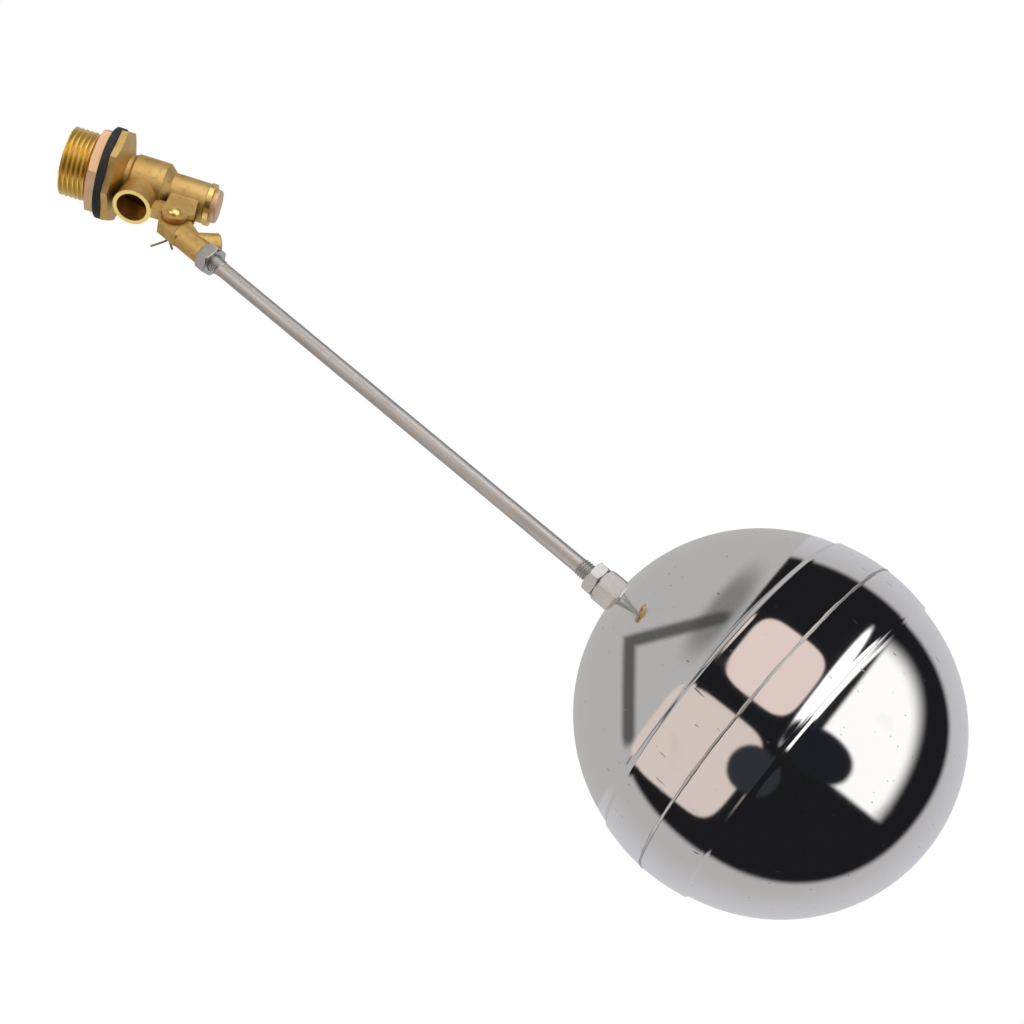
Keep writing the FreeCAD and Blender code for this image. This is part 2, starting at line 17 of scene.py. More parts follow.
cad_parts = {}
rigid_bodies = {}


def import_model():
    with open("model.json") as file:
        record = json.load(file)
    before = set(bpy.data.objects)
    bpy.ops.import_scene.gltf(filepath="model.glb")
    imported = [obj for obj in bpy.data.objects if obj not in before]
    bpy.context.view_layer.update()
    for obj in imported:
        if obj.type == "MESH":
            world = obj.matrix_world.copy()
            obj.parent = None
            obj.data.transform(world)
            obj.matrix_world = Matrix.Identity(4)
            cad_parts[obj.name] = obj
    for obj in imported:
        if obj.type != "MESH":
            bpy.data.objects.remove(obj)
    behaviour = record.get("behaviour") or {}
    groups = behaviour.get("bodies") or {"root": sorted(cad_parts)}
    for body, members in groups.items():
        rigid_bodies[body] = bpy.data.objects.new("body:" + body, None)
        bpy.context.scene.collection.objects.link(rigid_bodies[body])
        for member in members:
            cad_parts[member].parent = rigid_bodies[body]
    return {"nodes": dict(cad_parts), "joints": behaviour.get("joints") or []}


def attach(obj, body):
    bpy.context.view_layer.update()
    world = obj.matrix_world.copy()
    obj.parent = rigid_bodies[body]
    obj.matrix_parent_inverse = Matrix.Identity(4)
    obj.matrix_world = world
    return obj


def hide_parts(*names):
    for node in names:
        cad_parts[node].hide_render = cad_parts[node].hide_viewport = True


LOG = logging.getLogger("float_valve")
MM = 0.001
ROD_ANGLE = 33.7


# ------------------------------------------------------------------ shader maths
class Wire:
    """A number, vector or colour socket that can be used in ordinary arithmetic."""

    def __init__(self, sheet: "ShaderSheet", socket: bpy.types.NodeSocket) -> None:
        """Keep the socket and the sheet it belongs to.

        Args:
            sheet: the node sheet that new nodes are added to.
            socket: the output socket that carries the value.
        """
        self.sheet = sheet
        self.socket = socket

    def _math(self, operation: str, *values: "Wire | float") -> "Wire":
        """Add one Math node.

        Args:
            operation: the Math node's operation.
            values: its inputs in order.

        Returns:
            The node's result.
        """
        return self.sheet.add("ShaderNodeMath", {"operation": operation}, dict(enumerate(values)))

    def __add__(self, other: "Wire | float") -> "Wire":
        """Sum of two values."""
        return self._math("ADD", self, other)

    __radd__ = __add__

    def __sub__(self, other: "Wire | float") -> "Wire":
        """Difference of two values."""
        return self._math("SUBTRACT", self, other)

    def __rsub__(self, other: float) -> "Wire":
        """A plain number minus this value."""
        return self._math("SUBTRACT", other, self)

    def __mul__(self, other: "Wire | float") -> "Wire":
        """Product of two values."""
        return self._math("MULTIPLY", self, other)

    __rmul__ = __mul__

    def __truediv__(self, other: "Wire | float") -> "Wire":
        """Quotient of two values."""
        return self._math("DIVIDE", self, other)

    def __rtruediv__(self, other: float) -> "Wire":
        """A plain number divided by this value."""
        return self._math("DIVIDE", other, self)

    def __pow__(self, other: "Wire | float") -> "Wire":
        """This value raised to a power."""
        return self._math("POWER", self, other)

    def __abs__(self) -> "Wire":
        """Size of this value without its sign."""
        return self._math("ABSOLUTE", self)

    def most(self, other: "Wire | float") -> "Wire":
        """The larger of two values."""
        return self._math("MAXIMUM", self, other)

    def step(self, low: float, high: float) -> "Wire":
        """Rise smoothly from 0 at low to 1 at high, or fall if low is above high.

        Args:
            low: the value where the result is 0.
            high: the value where the result is 1.

        Returns:
            The smooth step.
        """
        start, stop, first, last = (low, high, 0.0, 1.0) if low < high else (high, low, 1.0, 0.0)
        settings = {"interpolation_type": "SMOOTHSTEP"}
        return self.sheet.add("ShaderNodeMapRange", settings,
                              {0: self, 1: start, 2: stop, 3: first, 4: last})


class ShaderSheet:
    """The node tree of one material or of the world, with one method for every kind of node."""

    def __init__(self, tree: bpy.types.NodeTree) -> None:
        """Empty the tree and keep it.

        Args:
            tree: the node tree to fill.
        """
        tree.nodes.clear()
        self.tree = tree

    def add(self, kind: str, settings: dict | None = None, inputs: dict | None = None,
            output: int | str = 0) -> Wire | None:
        """Add a node of any kind.

        Args:
            kind: the node's type name.
            settings: attributes set before the sockets.
            inputs: socket index or name to a value or a Wire.
            output: index or name of the output socket that is returned.

        Returns:
            The chosen output socket, or nothing for a node without outputs.
        """
        node = self.tree.nodes.new(kind)
        for name, value in (settings or {}).items():
            setattr(node, name, value)
        for key, value in (inputs or {}).items():
            socket = node.inputs[key]
            if isinstance(value, Wire):
                self.tree.links.new(value.socket, socket)
            elif isinstance(value, tuple) and socket.type == "RGBA" and len(value) == 3:
                socket.default_value = (*value, 1.0)
            else:
                socket.default_value = value
        return Wire(self, node.outputs[output]) if len(node.outputs) else None

    def place(self) -> Wire:
        """Object coordinates, which on a finished piece are the row frame in metres."""
        return self.add("ShaderNodeTexCoord", output="Object")

    def split(self, vector: Wire) -> tuple[Wire, Wire, Wire]:
        """The three numbers of a vector.

        Args:
            vector: the vector to split.

        Returns:
            X, Y and Z.
        """
        first = self.add("ShaderNodeSeparateXYZ", inputs={0: vector})
        return tuple(Wire(self, socket) for socket in first.socket.node.outputs)

    def mapped(self, vector: Wire, scale: tuple = (1, 1, 1), turn: tuple = (0, 0, 0)) -> Wire:
        """Turn or stretch a coordinate, as a Mapping node of type Point does it.

        Args:
            vector: the coordinate.
            scale: factor along each axis, applied first.
            turn: turn about each axis in radians.

        Returns:
            The new coordinate.
        """
        return self.add("ShaderNodeMapping", {"vector_type": "POINT"},
                        {"Vector": vector, "Scale": scale, "Rotation": turn})

    def noise(self, vector: Wire, scale: float, detail: float = 2.0, rough: float = 0.5,
              bend: float = 0.0) -> Wire:
        """Cloudy noise from 0 to 1.

        Args:
            vector: where to read it.
            scale: lumps per metre.
            detail: number of finer layers.
            rough: strength of the finer layers.
            bend: distortion.

        Returns:
            The noise value.
        """
        return self.add("ShaderNodeTexNoise", {"noise_dimensions": "3D"},
                        {"Vector": vector, "Scale": scale, "Detail": detail, "Roughness": rough,
                         "Distortion": bend})

    def blend(self, factor: Wire | float, first: Wire | tuple, second: Wire | tuple) -> Wire:
        """Mix two colours.

        Args:
            factor: 0 for the first colour, 1 for the second.
            first: one colour.
            second: the other colour.

        Returns:
            The mixed colour.
        """
        return self.add("ShaderNodeMix", {"data_type": "RGBA"}, {0: factor, 6: first, 7: second}, output=2)

    def bump(self, height: Wire, distance: float, strength: float = 1.0, under: Wire | None = None) -> Wire:
        """Raise a surface by a height pattern.

        Args:
            height: the pattern, 0 to 1.
            distance: metres that a height of 1 stands for.
            strength: share of the effect.
            under: a normal that the bump is laid over.

        Returns:
            The new normal.
        """
        inputs = {"Height": height, "Distance": distance, "Strength": strength}
        if under is not None:
            inputs["Normal"] = under
        return self.add("ShaderNodeBump", inputs=inputs)

    def surface(self, **inputs: "Wire | float | tuple") -> None:
        """End the sheet in a Principled shader.

        Args:
            inputs: the shader's sockets, with _ for each space in a name.
        """
        named = {name.replace("_", " "): value for name, value in inputs.items()}
        shader = self.add("ShaderNodeBsdfPrincipled", inputs=named)
        self.add("ShaderNodeOutputMaterial", inputs={"Surface": shader})


def new_material(name: str) -> tuple[bpy.types.Material, ShaderSheet]:
    """Make an empty node material.

    Args:
        name: the material's name.

    Returns:
        The material and the sheet of its nodes.
    """
    material = bpy.data.materials.new(name)
    material.use_nodes = True
    return material, ShaderSheet(material.node_tree)


# ------------------------------------------------------------------ finishes
@dataclass(frozen=True)
class CastBrass:
    """Sand-cast brass, tumbled to a satin skin, with painted shade darkening its recesses and corners; the
    valve's machined zones are left bright.
    """

    name: str = "cast_brass"
    machined: bool = False
    skin: tuple = (0.70, 0.46, 0.150)
    light_skin: tuple = (0.80, 0.57, 0.235)
    # dark colour of real stains, also used for the painted shade in recesses and corners
    stain_and_shade_skin: tuple = (0.34, 0.215, 0.065)
    turned: tuple = (0.84, 0.63, 0.22)
    reach: float = 22.4

    def tool_mask(self, sheet: ShaderSheet, place: Wire) -> Wire:
        """Where a cutting tool has been: thread, end bead, spout rim and bore.

        Args:
            sheet: the node sheet.
            place: object coordinates.

        Returns:
            1 on turned faces, 0 on the cast skin.
        """
        x, y, z = sheet.split(place)
        across = (y * y + z * z) ** 0.5
        thread = x.step((self.reach - 0.1) * MM, (self.reach - 0.5) * MM)
        bead = x.step((self.reach + 45.2) * MM, (self.reach + 45.5) * MM)
        from_spout = ((x - (self.reach + 14.8) * MM) ** 2.0 + y * y) ** 0.5
        rim = z.step(-21.2 * MM, -21.55 * MM) * from_spout.step(9.5 * MM, 9.2 * MM)
        front = x.step((self.reach + 9.0) * MM, (self.reach + 8.0) * MM)
        inside = across.step(12.15 * MM, 12.0 * MM) * front
        return thread.most(bead).most(rim).most(inside)

    def make(self) -> bpy.types.Material:
        """Build the material.

        Returns:
            The finished material.
        """
        material, sheet = new_material(self.name)
        place = sheet.place()
        cloud = sheet.noise(place, 90.0, 3.0, 0.55)
        stain = sheet.noise(place, 320.0, 4.0, 0.6, 0.4)
        grain = sheet.noise(place, 2600.0, 3.0, 0.6)
        pits = sheet.noise(place, 5200.0, 2.0, 0.7)
        colour = sheet.blend(cloud.step(0.35, 0.7), self.skin, self.light_skin)
        colour = sheet.blend(stain.step(0.52, 0.78) * 0.55, colour, self.stain_and_shade_skin)
        # painted shade: ambient occlusion darkens the colour toward the dark stain colour in recesses,
        # corners and gaps between parts
        painted_crease_shade = sheet.add("ShaderNodeAmbientOcclusion", {"samples": 8, "only_local": False},
                           {"Distance": 6.0 * MM}, output="AO")
        colour = sheet.blend(painted_crease_shade.step(0.85, 0.30) * 0.85, colour, self.stain_and_shade_skin)
        rough = 0.40 + grain * 0.12 + cloud * 0.08
        height = grain * 0.7 + pits * 0.3
        if self.machined:
            mask = self.tool_mask(sheet, place)
            colour = sheet.blend(mask, colour, self.turned)
            rough = rough * (1 - mask) + mask * (0.24 + stain * 0.14)
            height = height * (1 - mask * 0.9)
        normal = sheet.bump(height, 0.05 * MM, 0.7)
        sheet.surface(Base_Color=colour, Metallic=1.0, Roughness=rough, Normal=normal)
        return material


@dataclass(frozen=True)
class TurnedBrass:
    """Bright lathe-turned brass with fine tool rings across X."""

    name: str = "turned_brass"
    tone: tuple = (0.95, 0.72, 0.30)
    deep: tuple = (0.74, 0.50, 0.17)
    rough: float = 0.24

    def make(self) -> bpy.types.Material:
        """Build the material.

        Returns:
            The finished material.
        """
        material, sheet = new_material(self.name)
        place = sheet.place()
        cloud = sheet.noise(place, 240.0, 3.0)
        lines = sheet.noise(sheet.mapped(place, scale=(1.0, 0.02, 0.02)), 9000.0, 2.0, 0.7)
        colour = sheet.blend(cloud.step(0.4, 0.75) * 0.6, self.tone, self.deep)
        normal = sheet.bump(lines, 0.008 * MM, 0.5)
        sheet.surface(Base_Color=colour, Metallic=1.0, Roughness=self.rough + cloud * 0.12, Normal=normal)
        return material


@dataclass(frozen=True)
class SawnBrass:
    """Matte pinkish brass of a sawn and deburred face."""

    name: str = "sawn_brass"
    tone: tuple = (0.90, 0.62, 0.38)
    pale: tuple = (0.95, 0.70, 0.47)

    def make(self) -> bpy.types.Material:
        """Build the material.

        Returns:
            The finished material.
        """
        material, sheet = new_material(self.name)
        place = sheet.place()
        cloud = sheet.noise(place, 160.0, 4.0, 0.6)
        fine = sheet.noise(place, 3800.0, 3.0, 0.65)
        colour = sheet.blend(cloud.step(0.35, 0.7), self.tone, self.pale)
        sheet.surface(Base_Color=colour, Metallic=1.0, Roughness=0.52 + fine * 0.14,
                      Normal=sheet.bump(fine, 0.025 * MM, 0.6))
        return material


@dataclass(frozen=True)
class Rubber:
    """Black moulded rubber with dust in its pores."""

    name: str = "black_rubber"
    tone: tuple = (0.018, 0.019, 0.021)
    dusty: tuple = (0.045, 0.047, 0.052)

    def make(self) -> bpy.types.Material:
        """Build the material.

        Returns:
            The finished material.
        """
        material, sheet = new_material(self.name)
        place = sheet.place()
        cloud = sheet.noise(place, 260.0, 4.0, 0.6)
        pores = sheet.noise(place, 4200.0, 2.0, 0.6)
        colour = sheet.blend(cloud.step(0.45, 0.8), self.tone, self.dusty)
        sheet.surface(Base_Color=colour, Metallic=0.0, Roughness=0.58 + pores * 0.2,
                      Normal=sheet.bump(pores, 0.06 * MM, 0.7))
        return material


@dataclass(frozen=True)
class DrawnSteel:
    """Stainless steel drawn or ground along the rod, with fine lengthwise lines."""

    name: str = "satin_steel"
    tone: tuple = (0.56, 0.545, 0.53)
    dark: tuple = (0.46, 0.45, 0.445)
    rough: float = 0.36
    angle: float = ROD_ANGLE

    def make(self) -> bpy.types.Material:
        """Build the material.

        Returns:
            The finished material.
        """
        material, sheet = new_material(self.name)
        along = sheet.mapped(sheet.place(), turn=(0.0, -math.radians(self.angle), 0.0))
        streak = sheet.noise(sheet.mapped(along, scale=(0.02, 1.0, 1.0)), 2600.0, 3.0, 0.65)
        cloud = sheet.noise(sheet.mapped(along, scale=(0.25, 1.0, 1.0)), 160.0, 3.0, 0.6)
        specks = sheet.noise(along, 700.0, 2.0, 0.5)
        colour = sheet.blend(cloud.step(0.40, 0.75) * 0.5, self.tone, self.dark)
        colour = sheet.blend(specks.step(0.62, 0.80) * 0.3, colour, self.dark)
        sheet.surface(Base_Color=colour, Metallic=1.0, Roughness=self.rough + streak * 0.10 + cloud * 0.05,
                      Normal=sheet.bump(streak, 0.0012 * MM, 0.4))
        return material


@dataclass(frozen=True)
class BrightSteel:
    """Plated or polished steel of nuts, with light handling marks."""

    name: str = "bright_steel"
    tone: tuple = (0.60, 0.595, 0.59)
    dull: tuple = (0.42, 0.42, 0.43)
    rough: float = 0.24

    def make(self) -> bpy.types.Material:
        """Build the material.

        Returns:
            The finished material.
        """
        material, sheet = new_material(self.name)
        place = sheet.place()
        cloud = sheet.noise(place, 420.0, 4.0, 0.6)
        marks = sheet.noise(sheet.mapped(place, scale=(1.0, 0.2, 1.0)), 2400.0, 3.0, 0.7)
        colour = sheet.blend(cloud.step(0.45, 0.8) * 0.6, self.tone, self.dull)
        sheet.surface(Base_Color=colour, Metallic=1.0, Roughness=self.rough + marks * 0.14,
                      Normal=sheet.bump(marks, 0.002 * MM, 0.4))
        return material


@dataclass(frozen=True)
class MirrorSteel:
    """Mirror-polished pressed stainless sheet with polishing lines, smears and short dark rough dashes
    along the rod.
    """

    name: str = "mirror_steel"
    tone: tuple = (0.86, 0.85, 0.85)
    smear: tuple = (0.66, 0.60, 0.54)
    angle: float = ROD_ANGLE

    def make(self) -> bpy.types.Material:
        """Build the material.

        Returns:
            The finished material.
        """
        material, sheet = new_material(self.name)
        along = sheet.mapped(sheet.place(), turn=(0.0, -math.radians(self.angle), 0.0))
        waves = sheet.noise(along, 26.0, 2.0, 0.5)
        smears = sheet.noise(along, 38.0, 3.0, 0.55, 0.6)
        polish = sheet.noise(sheet.mapped(along, scale=(0.05, 1.0, 1.0)), 1400.0, 3.0, 0.7)
        flecks = sheet.noise(sheet.mapped(along, scale=(0.22, 1.0, 1.0)), 620.0, 1.0, 0.5)
        fleck = flecks.step(0.74, 0.78)
        colour = sheet.blend(smears.step(0.60, 0.86) * 0.35, self.tone, self.smear)
        colour = sheet.blend(fleck * 0.5, colour, (0.20, 0.19, 0.18))
        rough = 0.035 + polish * 0.05 + smears.step(0.55, 0.85) * 0.10 + fleck * 0.2
        normal = sheet.bump(waves, 0.25 * MM, 0.12)
        normal = sheet.bump(polish, 0.004 * MM, 0.35, under=normal)
        sheet.surface(Base_Color=colour, Metallic=1.0, Roughness=rough, Normal=normal)
        return material


# ------------------------------------------------------------------ surfaces
@dataclass(frozen=True)
class ArmLine:
    """The frame of the float arm at rest: pivot at the zero point, rod along its own X."""

    pivot: tuple
    angle: float = ROD_ANGLE
    drop: float = 3.5

    def to_row(self, points: np.ndarray) -> np.ndarray:
        """Carry points from the rod's own frame into the row frame.

        A point is moved down to the rod's line, turned about Y by the rod angle and moved to the
        pivot.

        Args:
            points: array of shape (..., 3) in millimetres.

        Returns:
            The same array in metres in the row frame.
        """
        slope = math.radians(self.angle)
        x, y, z = points[..., 0], points[..., 1], points[..., 2] - self.drop
        turned = np.stack([x * math.cos(slope) + z * math.sin(slope), y,
                           z * math.cos(slope) - x * math.sin(slope)], axis=-1)
        return turned * MM + np.asarray(self.pivot)


def grid_mesh(name: str, grid: np.ndarray, close_rows: bool, close_columns: bool,
              sharp: float = 35.0) -> bpy.types.Object:
    """Make a mesh object from a grid of points, joining each point to the next row and column.

    A first or last row whose points all coincide is kept as one point and closed with triangles.

    Args:
        name: the object's name.
        grid: points of shape (rows, columns, 3) in metres.
        close_rows: whether the last row joins the first.
        close_columns: whether the last column joins the first.
        sharp: edges that turn by more than this many degrees are shaded sharp.

    Returns:
        The new object, linked to the scene.
    """
    rows, columns = grid.shape[:2]
    index = np.arange(rows * columns).reshape(rows, columns)
    for end in (0, rows - 1):
        if not close_rows and np.ptp(grid[end], axis=0).max() < 1e-9:
            index[end] = index[end, 0]
    if close_rows:
        index = np.vstack([index, index[:1]])
    if close_columns:
        index = np.hstack([index, index[:, :1]])
    quads = np.stack([index[:-1, :-1], index[:-1, 1:], index[1:, 1:], index[1:, :-1]], axis=-1)
    quads = quads.reshape(-1, 4)
    used, flat = np.unique(quads, return_inverse=True)
    quads = flat.reshape(quads.shape)
    faces = [tuple(dict.fromkeys(face)) for face in quads.tolist()]
    mesh = bpy.data.meshes.new(name)
    mesh.from_pydata(grid.reshape(-1, 3)[used].tolist(), [], faces)
    mesh.validate()
    mesh.polygons.foreach_set("use_smooth", np.ones(len(mesh.polygons), dtype=bool))
    mesh.set_sharp_from_angle(angle=math.radians(sharp))
    mesh.update()
    piece = bpy.data.objects.new(name, mesh)
    bpy.context.scene.collection.objects.link(piece)
    return piece


def around(along: np.ndarray, radius: np.ndarray, turn: np.ndarray) -> np.ndarray:
    """Points round the X axis: a point is (along, r sin t, r cos t).

    Args:
        along: distances along X, one per row or one per point.
        radius: radii, one per row or one per point.
        turn: angle t of each column in radians.

    Returns:
        Grid of shape (rows, columns, 3).
    """
    parts = np.broadcast_arrays(along, radius * np.sin(turn), radius * np.cos(turn))
    return np.stack(parts, axis=-1)


def spun(profile: np.ndarray, columns: int) -> np.ndarray:
    """Spin a profile of (along, radius) rows about X.

    Args:
        profile: array of shape (rows, 2) in millimetres.
        columns: number of steps round.

    Returns:
        Grid of shape (rows, columns, 3) in millimetres.
    """
    turn = np.linspace(0.0, 2.0 * np.pi, columns, endpoint=False)
    return around(profile[:, :1], profile[:, 1:], turn)


def smooth(value: np.ndarray, low: float, high: float) -> np.ndarray:
    """Smooth step: 3 s squared minus 2 s cubed, with s the clipped share from low to high.

    Args:
        value: the numbers to grade.
        low: where the result is 0.
        high: where the result is 1.

    Returns:
        Numbers from 0 to 1.
    """
    share = np.clip((value - low) / (high - low), 0.0, 1.0)
    return share * share * (3.0 - 2.0 * share)


def hexagon_radius(turn: np.ndarray, flats: float, spin: float) -> np.ndarray:
    """Radius of a hexagon's outline: half the flats over the cosine of the angle from the next flat.

    Args:
        turn: angles round the hexagon in radians.
        flats: its width across flats.
        spin: angle of the middle of one flat in degrees.

    Returns:
        The radius at each angle.
    """
    away = np.mod(turn - math.radians(spin) + np.pi / 6.0, np.pi / 3.0) - np.pi / 6.0
    return flats / 2.0 / np.cos(away)


def wire_tube(path: np.ndarray, radius: np.ndarray, flat: float, columns: int = 20) -> np.ndarray:
    """Carry a round section along a path, with the section's own turning kept small.

    Each ring is centre + r (cos t) side + r (sin t) up, with side and up square to the path.

    Args:
        path: points of shape (rows, 3).
        radius: wire radius at each point.
        flat: how far the section is squeezed across its second direction, 1 for round.
        columns: steps round the wire.

    Returns:
        Grid of shape (rows, columns, 3).
    """
    ahead = np.gradient(path, axis=0)
    ahead /= np.linalg.norm(ahead, axis=1, keepdims=True)
    side = np.cross(ahead, np.array([0.0, 1.0, 0.0]))
    side /= np.linalg.norm(side, axis=1, keepdims=True)
    up = np.cross(side, ahead)
    turn = np.linspace(0.0, 2.0 * np.pi, columns, endpoint=False)
    wide = radius[:, None, None] * (np.cos(turn)[None, :, None] * side[:, None, :])
    tall = radius[:, None, None] * flat * (np.sin(turn)[None, :, None] * up[:, None, :])
    return path[:, None, :] + wide + tall


def dress(piece: bpy.types.Object, material: bpy.types.Material) -> None:
    """Give every material slot of a piece one material.

    Args:
        piece: the object to dress.
        material: its finish.
    """
    if not piece.material_slots:
        piece.data.materials.append(material)
    for slot in piece.material_slots:
        slot.material = material


# ------------------------------------------------------------------ sub-assemblies
@dataclass
class FloatBall:
    """The hollow ball: two pressed halves, their middle weld, the hexagon boss and its weld."""

    arm: ArmLine
    centre: float = 360.2
    band_radius: float = 75.0
    band_half: float = 20.0
    dome_radius: float = 73.5
    dome_shift: float = 3.0
    sheet: float = 0.6
    seam_gap: float = 0.4
    boss_start: float = 273.9
    boss_flats: float = 14.0
    boss_spin: float = 8.0
    bore: float = 4.0
    columns: int = 384

    def shell_profile(self, inset: float) -> np.ndarray:
        """Half profile from the weld to the pole.

        The band is an arc of its own radius about the centre and the dome an arc about a centre
        shifted outward; a smooth step leads from one to the other, and a bell curve just before it
        raises the rolled lip.

        Args:
            inset: distance under the outer skin.

        Returns:
            Rows of (distance from the weld plane, radius) in millimetres.
        """
        reach = self.dome_shift + self.dome_radius - inset
        share = np.concatenate([np.linspace(0.0, 0.225, 36, endpoint=False),
                                np.linspace(0.225, 0.30, 40, endpoint=False), np.linspace(0.30, 1.0, 120)])
        angle = share * np.pi / 2.0
        along = self.seam_gap + (reach - self.seam_gap) * np.sin(angle)
        band = np.sqrt(np.maximum((self.band_radius - inset) ** 2 - along ** 2, 0.0))
        dome = np.sqrt(np.maximum((reach - self.dome_shift) ** 2 - (along - self.dome_shift) ** 2, 0.0))
        step = smooth(along, self.band_half - 0.25, self.band_half + 0.45)
        radius = band * (1.0 - step) + dome * step
        radius += 0.12 * np.exp(-((along - self.band_half + 0.7) / 0.55) ** 2)
        radius[-1] = 0.0
        return np.column_stack([along, radius])

    def shell(self, name: str, side: int) -> bpy.types.Object:
        """Build one half of the ball, with its inner skin.

        Args:
            name: the piece's name.
            side: 1 for the half away from the rod, -1 for the half on the rod.

        Returns:
            The new piece.
        """
        outer = self.shell_profile(0.0)
        inner = self.shell_profile(self.sheet)
        profile = np.vstack([outer[::-1], inner])
        profile[:, 0] = self.centre + side * profile[:, 0]
        if side < 0:
            profile = profile[::-1]
        return grid_mesh(name, self.arm.to_row(spun(profile, self.columns)), False, True, 60.0)

    def seam(self) -> bpy.types.Object:
        """Build the middle weld: a low bead whose width and height waver round the ball.

        The section is a closed loop of a half ellipse over a flat foot; width and height are each a
        sum of sines of the angle.

        Returns:
            The new piece.
        """
        turn = np.linspace(0.0, 2.0 * np.pi, 720, endpoint=False)
        waver = np.sin(turn * 13 + 0.4) + 0.7 * np.sin(turn * 29 + 1.1) + 0.5 * np.sin(turn * 71 + 2.0)
        waver = waver / 2.2
        ripple = np.sin(turn * 210) * 0.06
        width = 0.62 + 0.16 * waver
        height = 0.20 + 0.08 * np.roll(waver, 97) + ripple * 0.5
        loop = np.linspace(0.0, 2.0 * np.pi, 16, endpoint=False)
        along = self.centre + width[None, :] * np.cos(loop)[:, None] + 0.12 * np.roll(waver, 211)[None, :]
        lift = np.where(np.sin(loop) > 0, np.sin(loop), -0.15)
        radius = self.band_radius + height[None, :] * lift[:, None]
        grid = around(along, radius, turn)
        return grid_mesh("middle_weld", self.arm.to_row(grid[::-1]), True, True, 60.0)

    def boss(self) -> bpy.types.Object:
        """Build the hexagon boss with its tapped hole and rounded corners.

        Its radius is the smaller of the hexagon's outline and a cone that takes the corners off.

        Returns:
            The new piece.
        """
        turn = np.linspace(0.0, 2.0 * np.pi, 180, endpoint=False)
        flats = hexagon_radius(turn, self.boss_flats, self.boss_spin)
        foot = self.centre - self.dome_shift - self.dome_radius
        along = np.array([9.0, 0.4, 0.0, 0.0, 0.25, 0.8, 2.0, 5.0, foot - self.boss_start + 0.05])
        limit = np.array([0.0, 0.0, 0.35, 2.7, 3.2, 4.1, 9.0, 9.0, 9.0])
        hole_rows = 3
        cone = np.repeat(self.bore + limit[:, None], len(turn), axis=1)
        radius = np.vstack([cone[:hole_rows], np.minimum(flats, cone[hole_rows:])])
        reach = np.repeat((self.boss_start + along)[:, None], len(turn), axis=1)
        on_dome = np.sqrt(self.dome_radius ** 2 - radius[-1] ** 2)
        reach[-1] = self.centre - self.dome_shift - on_dome
        reach = np.vstack([reach[:1], reach, np.full_like(reach[:1], self.boss_start + 12.0)])
        radius = np.vstack([np.zeros_like(radius[:1]), radius, np.zeros_like(radius[:1])])
        return grid_mesh("hexagon_boss", self.arm.to_row(around(reach, radius, turn)), False, True, 25.0)

    def boss_weld(self) -> bpy.types.Object:
        """Build the fillet weld at the boss's foot: a rippled ring that lies on the dome.

        Returns:
            The new piece.
        """
        turn = np.linspace(0.0, 2.0 * np.pi, 360, endpoint=False)
        ripple = 1.0 + 0.05 * np.sin(turn * 36) + 0.04 * np.sin(turn * 5 + 0.8)
        loop = np.linspace(0.0, 2.0 * np.pi, 20, endpoint=False)
        middle = 8.15
        radius = middle + 0.8 * ripple[None, :] * np.cos(loop)[:, None]
        on_dome = self.centre - self.dome_shift - np.sqrt(self.dome_radius ** 2 - radius ** 2)
        along = on_dome - 0.55 * ripple[None, :] * np.sin(loop)[:, None] + 0.1
        grid = around(along, radius, turn)
        return grid_mesh("boss_fillet_weld", self.arm.to_row(grid), True, True, 60.0)

    def build(self, mirror: bpy.types.Material, satin: bpy.types.Material) -> None:
        """Build every piece of the ball and dress it.

        Args:
            mirror: finish of the shells.
            satin: finish of the boss and the welds.
        """
        plan = [(self.shell("rod_side_half", -1), "float_shell_rod_side", mirror, "mirror_steel"),
                (self.shell("far_side_half", 1), "float_shell_far_side", mirror, "mirror_steel"),
                (self.seam(), "float_seam_weld", satin, "satin_steel"),
                (self.boss(), "float_boss", satin, "satin_steel"),
                (self.boss_weld(), "boss_weld", satin, "satin_steel")]
        for piece, node, material, slot in plan:
            dress(piece, material)
            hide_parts(node)
            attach(piece, "float_arm")
            LOG.info("%s stands for %s", piece.name, node)


